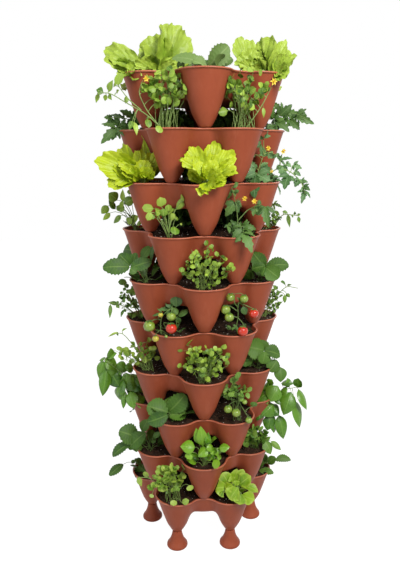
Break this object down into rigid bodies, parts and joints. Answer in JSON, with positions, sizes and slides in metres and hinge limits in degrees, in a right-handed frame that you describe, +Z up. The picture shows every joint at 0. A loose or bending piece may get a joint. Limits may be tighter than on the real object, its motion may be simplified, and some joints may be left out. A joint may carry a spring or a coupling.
{
  "type": "vertical planter tower",
  "caption": "Vertical planter tower of stacked lobed pots on flared legs, each filled with compost and planted with salad, herbs, strawberries and tomatoes.",
  "frame": {"origin": "on the floor, on the tower's upright axis", "axes": "+Z up along the tower's axis, front at -Y, +X to the right seen from the front"},
  "size_m": [0.6262, 0.5222, 1.4416],
  "materials": {
    "terracotta_plastic": "satin",
    "potting_compost": "matte",
    "leaf_bright": "satin",
    "leaf_green": "satin",
    "leaf_dark": "satin"
  },
  "bodies": {
    "base": {"leg_1": "terracotta_plastic", "leg_2": "terracotta_plastic", "leg_3": "terracotta_plastic", "leg_4": "terracotta_plastic", "leg_5": "terracotta_plastic", "leg_6": "terracotta_plastic", "tier_10_pot": "terracotta_plastic", "tier_10_compost": "potting_compost", "tier_10_plants_front": "leaf_bright", "tier_10_plants_right": "leaf_dark", "tier_10_plants_left": "leaf_green"},
    "tier_09": {"tier_09_pot": "terracotta_plastic", "tier_09_compost": "potting_compost", "tier_09_plants_front": "leaf_bright", "tier_09_plants_right": "leaf_green", "tier_09_plants_left": "leaf_bright"},
    "tier_08": {"tier_08_pot": "terracotta_plastic", "tier_08_compost": "potting_compost", "tier_08_plants_front": "leaf_dark", "tier_08_plants_right": "leaf_green", "tier_08_plants_left": "leaf_dark"},
    "tier_07": {"tier_07_pot": "terracotta_plastic", "tier_07_compost": "potting_compost", "tier_07_plants_front": "leaf_green", "tier_07_plants_right": "leaf_dark", "tier_07_plants_left": "leaf_green"},
    "tier_06": {"tier_06_pot": "terracotta_plastic", "tier_06_compost": "potting_compost", "tier_06_plants_front": "leaf_dark", "tier_06_plants_right": "leaf_green", "tier_06_plants_left": "leaf_dark"},
    "tier_05": {"tier_05_pot": "terracotta_plastic", "tier_05_compost": "potting_compost", "tier_05_plants_front": "leaf_green", "tier_05_plants_right": "leaf_dark", "tier_05_plants_left": "leaf_green"},
    "tier_04": {"tier_04_pot": "terracotta_plastic", "tier_04_compost": "potting_compost", "tier_04_plants_front": "leaf_dark", "tier_04_plants_right": "leaf_green", "tier_04_plants_left": "leaf_dark"},
    "tier_03": {"tier_03_pot": "terracotta_plastic", "tier_03_compost": "potting_compost", "tier_03_plants_front": "leaf_bright", "tier_03_plants_right": "leaf_dark", "tier_03_plants_left": "leaf_bright"},
    "tier_02": {"tier_02_pot": "terracotta_plastic", "tier_02_compost": "potting_compost", "tier_02_plants_front": "leaf_green", "tier_02_plants_right": "leaf_dark", "tier_02_plants_left": "leaf_dark"},
    "tier_01": {"tier_01_pot": "terracotta_plastic", "tier_01_compost": "potting_compost", "tier_01_plants_front": "leaf_dark", "tier_01_plants_right": "leaf_bright", "tier_01_plants_left": "leaf_bright"}
  },
  "joints": [
    {"name": "tier_09_lift", "type": "slide", "parent": "base", "child": "tier_09", "axis": [0, 0, 1], "range_m": [0, 0.15]},
    {"name": "tier_08_lift", "type": "slide", "parent": "tier_09", "child": "tier_08", "axis": [0, 0, 1], "range_m": [0, 0.15]},
    {"name": "tier_07_lift", "type": "slide", "parent": "tier_08", "child": "tier_07", "axis": [0, 0, 1], "range_m": [0, 0.15]},
    {"name": "tier_06_lift", "type": "slide", "parent": "tier_07", "child": "tier_06", "axis": [0, 0, 1], "range_m": [0, 0.15]},
    {"name": "tier_05_lift", "type": "slide", "parent": "tier_06", "child": "tier_05", "axis": [0, 0, 1], "range_m": [0, 0.15]},
    {"name": "tier_04_lift", "type": "slide", "parent": "tier_05", "child": "tier_04", "axis": [0, 0, 1], "range_m": [0, 0.15]},
    {"name": "tier_03_lift", "type": "slide", "parent": "tier_04", "child": "tier_03", "axis": [0, 0, 1], "range_m": [0, 0.15]},
    {"name": "tier_02_lift", "type": "slide", "parent": "tier_03", "child": "tier_02", "axis": [0, 0, 1], "range_m": [0, 0.15]},
    {"name": "tier_01_lift", "type": "slide", "parent": "tier_02", "child": "tier_01", "axis": [0, 0, 1], "range_m": [0, 0.15]}
  ]
}
